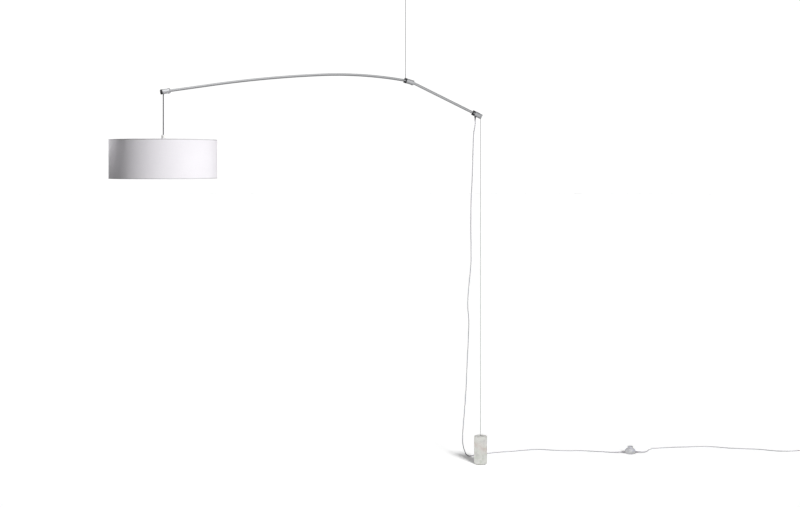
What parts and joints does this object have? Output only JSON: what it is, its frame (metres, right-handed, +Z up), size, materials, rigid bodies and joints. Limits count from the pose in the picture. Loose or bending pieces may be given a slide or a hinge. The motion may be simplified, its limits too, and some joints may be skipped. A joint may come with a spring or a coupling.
{
  "type": "suspended balance-arm lamp",
  "caption": "Drum-shade lamp whose bowed two-part arm hangs from a thin ceiling cable and is balanced by a stone on a second cable, with a mains flex, foot switch and plug.",
  "frame": {"origin": "centre of the ceiling plate's upper face, on the ceiling", "axes": "+Z up into the ceiling, +X along the arm towards the stone, +Y away from the viewer; the floor is at z = -2.65 m"},
  "size_m": [4.046, 0.736, 2.65],
  "materials": {
    "chrome": "mirror",
    "polished_aluminium": "polished",
    "arm_aluminium": "satin",
    "steel": "satin",
    "wire_rope": "satin",
    "shade_wire": "painted white",
    "gloss_black": "gloss",
    "nylon": "matte",
    "white_plastic": "gloss",
    "brass": "plain",
    "opal_glass": "opal",
    "shade_fabric": "woven",
    "hem_tape": "woven tape",
    "marble": "honed",
    "felt": "felt",
    "grey_flex": "satin",
    "white_flex": "satin",
    "clear_flex": "translucent",
    "clear_plastic": "translucent"
  },
  "bodies": {
    "ceiling_mount": {"ceiling_plate": "chrome", "ceiling_cup": "chrome", "bearing_washer": "nylon"},
    "hanger": {"cable_nipple": "steel", "ceiling_cable": "wire_rope", "cable_eye": "steel", "hanging_flex": "clear_flex", "switch_base": "clear_plastic", "switch_cover": "clear_plastic", "switch_block": "gloss_black", "button_spring": "steel", "switch_reliefs": "clear_flex", "outgoing_flex": "clear_flex", "flex_coil": "clear_flex", "coil_tie": "gloss_black", "plug_body": "clear_plastic", "plug_pins": "steel"},
    "arm": {"pivot_pin": "steel", "pivot_collar": "gloss_black", "pivot_sleeve": "chrome", "pivot_nose": "chrome", "pivot_screw": "steel", "bowed_rod": "arm_aluminium", "right_tube": "arm_aluminium", "inner_flex": "white_flex", "left_sleeve": "chrome", "left_end_cap": "gloss_black", "left_bush": "polished_aluminium", "left_screws": "steel", "right_ring": "gloss_black", "right_sleeve": "chrome", "right_screws": "steel", "right_end_plug": "chrome", "cord_gland": "gloss_black", "arm_relief": "clear_flex"},
    "pendant_pivot": {"pendant_trunnion": "steel", "swing_pin": "steel"},
    "shade": {"flex_ferrule": "steel", "pendant_flex": "grey_flex", "cord_grip": "white_plastic", "holder_cap": "white_plastic", "holder_skirt": "white_plastic", "thread_shell": "brass", "centre_contact": "brass", "shade_nut": "white_plastic", "bulb_cap": "polished_aluminium", "bulb_glass": "opal_glass", "shade_spider": "shade_wire", "shade_top_ring": "shade_wire", "shade_bottom_ring": "shade_wire", "shade_panel": "shade_fabric", "top_hem": "hem_tape", "bottom_hem": "hem_tape"},
    "counterweight": {"cable_barrel": "steel", "counterweight_cable": "wire_rope", "stone_ferrule": "chrome", "stone": "marble", "stone_anchor": "steel", "felt_pad": "felt"},
    "foot_button": {"switch_button": "clear_plastic"}
  },
  "joints": [
    {"name": "arm_swivel", "type": "hinge", "parent": "ceiling_mount", "child": "hanger", "pos_m": [0, 0, 0], "axis": [0, 0, 1], "range_deg": [-90, 90]},
    {"name": "arm_tilt", "type": "hinge", "parent": "hanger", "child": "arm", "pos_m": [0, 0, -0.518], "axis": [0, -1, 0], "range_deg": [0, 15]},
    {"name": "pendant_plumb", "type": "hinge", "parent": "arm", "child": "pendant_pivot", "pos_m": [-1.34158, 0, -0.58996], "axis": [0, -1, 0], "range_deg": [-15, 0]},
    {"name": "shade_swing", "type": "hinge", "parent": "pendant_pivot", "child": "shade", "pos_m": [-1.34158, 0, -0.58996], "axis": [1, 0, 0], "range_deg": [-8, 8]},
    {"name": "counterweight_plumb", "type": "hinge", "parent": "arm", "child": "counterweight", "pos_m": [0.41553, 0, -0.72756], "axis": [0, -1, 0], "range_deg": [-15, 0]},
    {"name": "button_press", "type": "slide", "parent": "hanger", "child": "foot_button", "axis": [0, 0, -1], "range_m": [0, 0.003], "stiffness_N_per_m": 1500, "springref_m": -0.002, "deforming": ["button_spring"]}
  ],
  "couplings": [
    {"joint": "pendant_plumb", "follows": "arm_tilt", "ratio": -1},
    {"joint": "counterweight_plumb", "follows": "arm_tilt", "ratio": -1}
  ]
}
